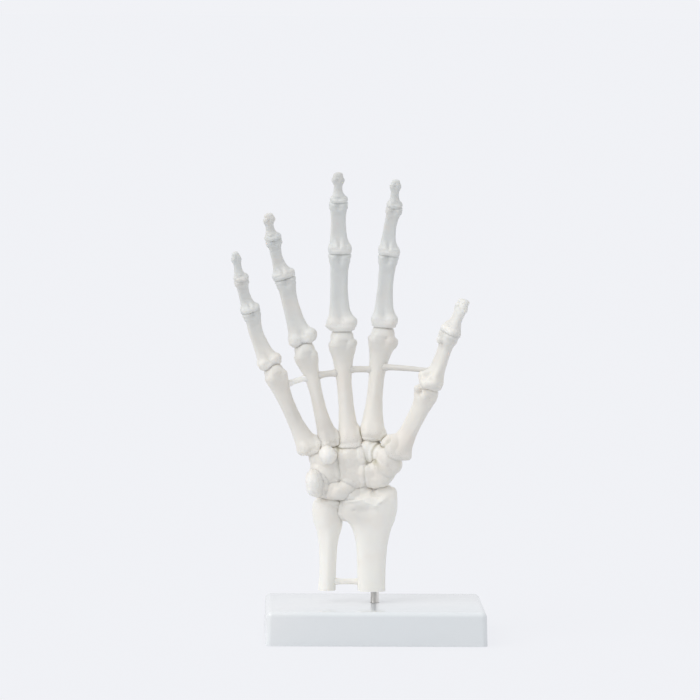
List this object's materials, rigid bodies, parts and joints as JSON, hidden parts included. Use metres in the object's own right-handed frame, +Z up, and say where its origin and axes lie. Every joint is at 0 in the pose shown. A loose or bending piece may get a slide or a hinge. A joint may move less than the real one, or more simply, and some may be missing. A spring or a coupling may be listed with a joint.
{
  "type": "hand skeleton model",
  "caption": "Life-size right-hand skeleton with wrist and forearm ends, upright on a steel post above a flat rectangular plinth, palm to the front.",
  "frame": {"origin": "centre of the plinth's underside", "axes": "+Z up along the post and the forearm, +X towards the thumb, palm towards -Y"},
  "size_m": [0.1541, 0.09, 0.2808],
  "materials": {
    "bone": "off-white moulded plastic with a soft sheen",
    "plinth": "cool white, glossy",
    "steel": "polished"
  },
  "bodies": {
    "stand": {"plinth": "plinth"},
    "post": {"post": "steel"},
    "hand": {"capitate": "bone", "hamate": "bone", "index_distal": "bone", "index_distal_pin": "steel", "index_metacarpal": "bone", "index_middle": "bone", "index_middle_pin": "steel", "index_proximal": "bone", "index_proximal_pin": "steel", "index_wrist_pin": "steel", "little_distal": "bone", "little_distal_pin": "steel", "little_metacarpal": "bone", "little_middle": "bone", "little_middle_pin": "steel", "little_proximal": "bone", "little_proximal_pin": "steel", "little_wrist_pin": "steel", "lunate": "bone", "lunate_radius_pin": "steel", "middle_distal": "bone", "middle_distal_pin": "steel", "middle_metacarpal": "bone", "middle_middle": "bone", "middle_middle_pin": "steel", "middle_proximal": "bone", "middle_proximal_pin": "steel", "middle_wrist_pin": "steel", "pisiform": "bone", "radius": "bone", "ring_distal": "bone", "ring_distal_pin": "steel", "ring_metacarpal": "bone", "ring_middle": "bone", "ring_middle_pin": "steel", "ring_proximal": "bone", "ring_proximal_pin": "steel", "ring_wrist_pin": "steel", "scaphoid": "bone", "scaphoid_radius_pin": "steel", "thumb_distal": "bone", "thumb_distal_pin": "steel", "thumb_metacarpal": "bone", "thumb_proximal": "bone", "thumb_proximal_pin": "steel", "thumb_wrist_pin": "steel", "tie_index_thumb": "bone", "tie_little_ring": "bone", "tie_middle_index": "bone", "tie_radius_ulna": "bone", "tie_ring_middle": "bone", "trapezium": "bone", "trapezoid": "bone", "triquetrum": "bone", "ulna": "bone"}
  },
  "joints": [
    {"name": "post_swivel", "type": "hinge", "parent": "stand", "child": "post", "pos_m": [0, 0, 0.0203], "axis": [0, 0, 1], "continuous": true},
    {"name": "hand_lift", "type": "slide", "parent": "post", "child": "hand", "axis": [0, 0, 1], "range_m": [0, 0.045]}
  ]
}
